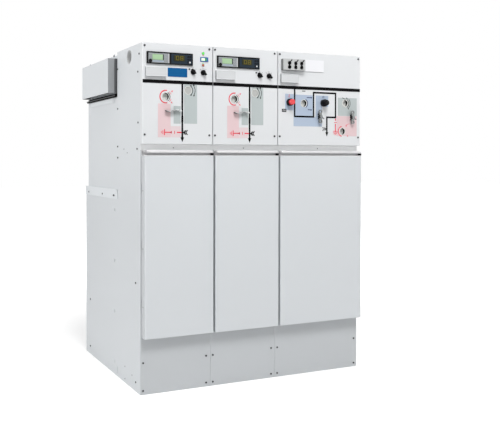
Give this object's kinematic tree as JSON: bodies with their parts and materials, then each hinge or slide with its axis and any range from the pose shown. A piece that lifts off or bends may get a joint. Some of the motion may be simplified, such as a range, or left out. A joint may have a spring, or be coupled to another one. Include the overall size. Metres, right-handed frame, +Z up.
{
  "type": "gas-insulated ring main switchgear block",
  "caption": "Floor-standing sheet-steel switchgear block: gas tank, operating boards with mimic diagram, lift-off cable covers, knobs, push buttons and lever sockets.",
  "frame": {"origin": "floor level, at the centre of the four floor bolts under the block", "axes": "+X to the right as seen from the front, +Y to the back, +Z up"},
  "size_m": [1.091, 0.787, 1.4],
  "materials": {
    "wall_paint": "light grey powder coat, satin",
    "board_paint": "pale grey powder coat, satin",
    "zinc_sheet": "zinc-coated steel sheet, matt",
    "grip_aluminium": "extruded profile, pale and satin",
    "black_plastic": "moulded, fine grain",
    "dark_paint": "dark channel, matt",
    "blue_plastic": "blue rocker with coloured lamps",
    "grey_plastic": "moulded, light grey",
    "red_plastic": "moulded cap",
    "socket_zinc": "zinc-coated bushing",
    "bright_steel": "bright plated steel"
  },
  "bodies": {
    "block": {"base_frame": "zinc_sheet", "floor_plates": "zinc_sheet", "side_wall_left": "wall_paint", "side_wall_right": "wall_paint", "frame_post_1": "wall_paint", "frame_post_2": "wall_paint", "rear_wall": "wall_paint", "gas_tank": "wall_paint", "cross_rail_left": "wall_paint", "cross_rail_right": "wall_paint", "connection_box": "wall_paint", "box_channel": "dark_paint", "roof_cover": "wall_paint", "operating_board_1": "board_paint", "operating_board_2": "board_paint", "operating_board_3": "board_paint", "recess_strip_1": "board_paint", "recess_strip_2": "board_paint", "recess_strip_3": "board_paint", "plinth_panel_1": "wall_paint", "plinth_panel_2": "wall_paint", "plinth_panel_3": "wall_paint", "relay_pair_1": "black_plastic", "relay_pair_2": "black_plastic", "indicator_unit": "blue_plastic", "label_holders": "board_paint", "voltage_socket_block": "grey_plastic", "test_inserts": "black_plastic", "button_collars": "black_plastic", "lever_sockets": "socket_zinc", "control_gates": "bright_steel", "locking_devices": "bright_steel"},
    "cover_1": {"cable_cover_1": "wall_paint", "grip_profile_1": "grip_aluminium", "grip_cap_1": "black_plastic"},
    "cover_2": {"cable_cover_2": "wall_paint", "grip_profile_2": "grip_aluminium", "grip_cap_2": "black_plastic"},
    "cover_3": {"cable_cover_3": "wall_paint", "grip_profile_3": "grip_aluminium", "grip_cap_3": "black_plastic"},
    "knob_1": {"selector_knob_1": "black_plastic"},
    "knob_2": {"selector_knob_2": "black_plastic"},
    "knob_3": {"selector_knob_3": "black_plastic"},
    "knob_4": {"selector_knob_4": "black_plastic"},
    "red_button": {"red_push_button": "red_plastic"},
    "black_button": {"black_push_button": "black_plastic"}
  },
  "joints": [
    {"name": "cover_lift_1", "type": "slide", "parent": "block", "child": "cover_1", "axis": [0, 0, 1], "range_m": [0, 0.018]},
    {"name": "cover_lift_2", "type": "slide", "parent": "block", "child": "cover_2", "axis": [0, 0, 1], "range_m": [0, 0.018]},
    {"name": "cover_lift_3", "type": "slide", "parent": "block", "child": "cover_3", "axis": [0, 0, 1], "range_m": [0, 0.018]},
    {"name": "knob_turn_1", "type": "hinge", "parent": "block", "child": "knob_1", "pos_m": [-0.305, -0.3895, 1.292], "axis": [0, 1, 0], "range_deg": [0, 90]},
    {"name": "knob_turn_2", "type": "hinge", "parent": "block", "child": "knob_2", "pos_m": [-0.26, -0.3895, 1.292], "axis": [0, 1, 0], "range_deg": [-90, 0]},
    {"name": "knob_turn_3", "type": "hinge", "parent": "block", "child": "knob_3", "pos_m": [0.005, -0.3895, 1.292], "axis": [0, 1, 0], "range_deg": [0, 90]},
    {"name": "knob_turn_4", "type": "hinge", "parent": "block", "child": "knob_4", "pos_m": [0.05, -0.3895, 1.292], "axis": [0, 1, 0], "range_deg": [-90, 0]},
    {"name": "red_button_push", "type": "slide", "parent": "block", "child": "red_button", "axis": [0, 1, 0], "range_m": [0, 0.004], "stiffness_N_per_m": 800},
    {"name": "black_button_push", "type": "slide", "parent": "block", "child": "black_button", "axis": [0, 1, 0], "range_m": [0, 0.004], "stiffness_N_per_m": 800}
  ]
}
